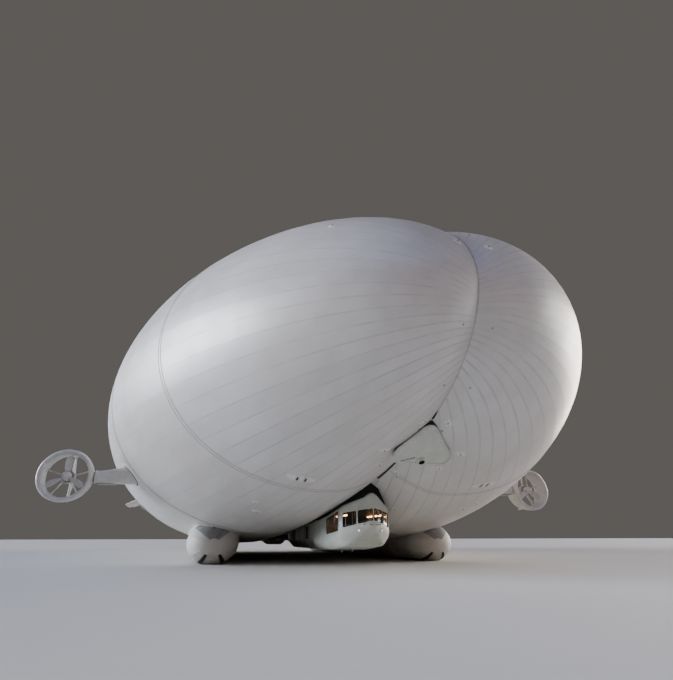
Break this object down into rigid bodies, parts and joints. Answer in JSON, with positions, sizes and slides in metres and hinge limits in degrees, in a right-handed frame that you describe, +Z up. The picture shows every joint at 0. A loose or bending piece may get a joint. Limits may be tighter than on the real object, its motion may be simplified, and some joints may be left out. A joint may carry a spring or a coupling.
{
  "type": "hybrid airship, 1:10 scale model",
  "caption": "Two-lobed hybrid airship as a scale model, parked on air-cushion skids, with ducted propellers, tail fins and a flight deck slung under the nose.",
  "frame": {"origin": "on the ground under the middle of the parked ship", "axes": "+Z up, the nose points along -Y, +X is the port side"},
  "size_m": [4.3502, 9.2, 2.6013],
  "materials": {
    "hull_fabric": "satin laminated fabric",
    "skid_fabric": "satin coated fabric",
    "composite": "semi-gloss painted composite",
    "fin_skin": "satin doped fabric",
    "dark_frame": "satin dark grey paint",
    "duct_skin": "semi-gloss pale grey paint",
    "engine_cowl": "satin grey paint",
    "blade": "semi-gloss pale grey composite",
    "window_glass": "polished, lightly tinted",
    "seat_cover": "woven cloth"
  },
  "bodies": {
    "airship": {"hull_envelope": "hull_fabric", "nose_mooring_panel": "composite", "mooring_socket": "dark_frame", "mid_body_module": "composite", "payload_beam": "dark_frame", "fuel_module": "composite", "flight_deck_shell": "composite", "instrument_console": "dark_frame", "windscreen_starboard": "window_glass", "quarter_window_starboard": "window_glass", "side_window_starboard": "window_glass", "pilot_seat_starboard": "seat_cover", "landing_skid_starboard": "skid_fabric", "front_starboard_pylon": "composite", "stern_cone_starboard": "hull_fabric", "rear_starboard_duct": "duct_skin", "rear_starboard_engine": "engine_cowl", "upper_starboard_fin": "fin_skin", "lower_starboard_fin": "fin_skin", "windscreen_port": "window_glass", "quarter_window_port": "window_glass", "side_window_port": "window_glass", "pilot_seat_port": "seat_cover", "landing_skid_port": "skid_fabric", "front_port_pylon": "composite", "stern_cone_port": "hull_fabric", "rear_port_duct": "duct_skin", "rear_port_engine": "engine_cowl", "upper_port_fin": "fin_skin", "lower_port_fin": "fin_skin"},
    "crew_door": {"crew_door": "composite", "crew_door_window": "window_glass"},
    "front_starboard_duct": {"front_starboard_duct": "duct_skin", "front_starboard_engine": "engine_cowl"},
    "front_starboard_propeller": {"front_starboard_propeller": "blade"},
    "front_starboard_vane": {"front_starboard_vane": "fin_skin"},
    "rear_starboard_propeller": {"rear_starboard_propeller": "blade"},
    "rear_starboard_vane": {"rear_starboard_vane": "fin_skin"},
    "upper_starboard_fin_flap": {"upper_starboard_fin_flap": "fin_skin"},
    "lower_starboard_fin_flap": {"lower_starboard_fin_flap": "fin_skin"},
    "front_port_duct": {"front_port_duct": "duct_skin", "front_port_engine": "engine_cowl"},
    "front_port_propeller": {"front_port_propeller": "blade"},
    "front_port_vane": {"front_port_vane": "fin_skin"},
    "rear_port_propeller": {"rear_port_propeller": "blade"},
    "rear_port_vane": {"rear_port_vane": "fin_skin"},
    "upper_port_fin_flap": {"upper_port_fin_flap": "fin_skin"},
    "lower_port_fin_flap": {"lower_port_fin_flap": "fin_skin"}
  },
  "joints": [
    {"name": "crew_door_hinge", "type": "hinge", "parent": "airship", "child": "crew_door", "pos_m": [0.166, -2.769, 0.2], "axis": [0, 0, -1], "range_deg": [0, 85]},
    {"name": "front_starboard_duct_tilt", "type": "hinge", "parent": "airship", "child": "front_starboard_duct", "pos_m": [-1.9242, -2.2437, 0.5742], "axis": [1, 0, 0], "range_deg": [-20, 20]},
    {"name": "front_starboard_propeller_spin", "type": "hinge", "parent": "front_starboard_duct", "child": "front_starboard_propeller", "pos_m": [-1.9242, -2.2437, 0.5742], "axis": [0, 1, 0], "continuous": true},
    {"name": "front_starboard_vane_turn", "type": "hinge", "parent": "front_starboard_duct", "child": "front_starboard_vane", "pos_m": [-1.9242, -2.0937, 0.5742], "axis": [0, 0, 1], "range_deg": [-25, 25]},
    {"name": "rear_starboard_propeller_spin", "type": "hinge", "parent": "airship", "child": "rear_starboard_propeller", "pos_m": [-0.561, 4.365, 1.4302], "axis": [0, 1, 0], "continuous": true},
    {"name": "rear_starboard_vane_turn", "type": "hinge", "parent": "airship", "child": "rear_starboard_vane", "pos_m": [-0.561, 4.515, 1.4302], "axis": [0, 0, 1], "range_deg": [-25, 25]},
    {"name": "upper_starboard_fin_flap_hinge", "type": "hinge", "parent": "airship", "child": "upper_starboard_fin_flap", "pos_m": [-1.21887, 3.58629, 2.33323], "axis": [-0.552, 0.1214, 0.825], "range_deg": [-25, 25]},
    {"name": "lower_starboard_fin_flap_hinge", "type": "hinge", "parent": "airship", "child": "lower_starboard_fin_flap", "pos_m": [-1.83459, 3.54019, 0.84581], "axis": [-0.923, 0.121, -0.3654], "range_deg": [-25, 25]},
    {"name": "front_port_duct_tilt", "type": "hinge", "parent": "airship", "child": "front_port_duct", "pos_m": [1.9242, -2.2437, 0.5742], "axis": [1, 0, 0], "range_deg": [-20, 20]},
    {"name": "front_port_propeller_spin", "type": "hinge", "parent": "front_port_duct", "child": "front_port_propeller", "pos_m": [1.9242, -2.2437, 0.5742], "axis": [0, 1, 0], "continuous": true},
    {"name": "front_port_vane_turn", "type": "hinge", "parent": "front_port_duct", "child": "front_port_vane", "pos_m": [1.9242, -2.0937, 0.5742], "axis": [0, 0, 1], "range_deg": [-25, 25]},
    {"name": "rear_port_propeller_spin", "type": "hinge", "parent": "airship", "child": "rear_port_propeller", "pos_m": [0.561, 4.365, 1.4302], "axis": [0, 1, 0], "continuous": true},
    {"name": "rear_port_vane_turn", "type": "hinge", "parent": "airship", "child": "rear_port_vane", "pos_m": [0.561, 4.515, 1.4302], "axis": [0, 0, 1], "range_deg": [-25, 25]},
    {"name": "upper_port_fin_flap_hinge", "type": "hinge", "parent": "airship", "child": "upper_port_fin_flap", "pos_m": [1.21887, 3.58629, 2.33323], "axis": [0.552, 0.1214, 0.825], "range_deg": [-25, 25]},
    {"name": "lower_port_fin_flap_hinge", "type": "hinge", "parent": "airship", "child": "lower_port_fin_flap", "pos_m": [1.83459, 3.54019, 0.84581], "axis": [0.923, 0.121, -0.3654], "range_deg": [-25, 25]}
  ]
}
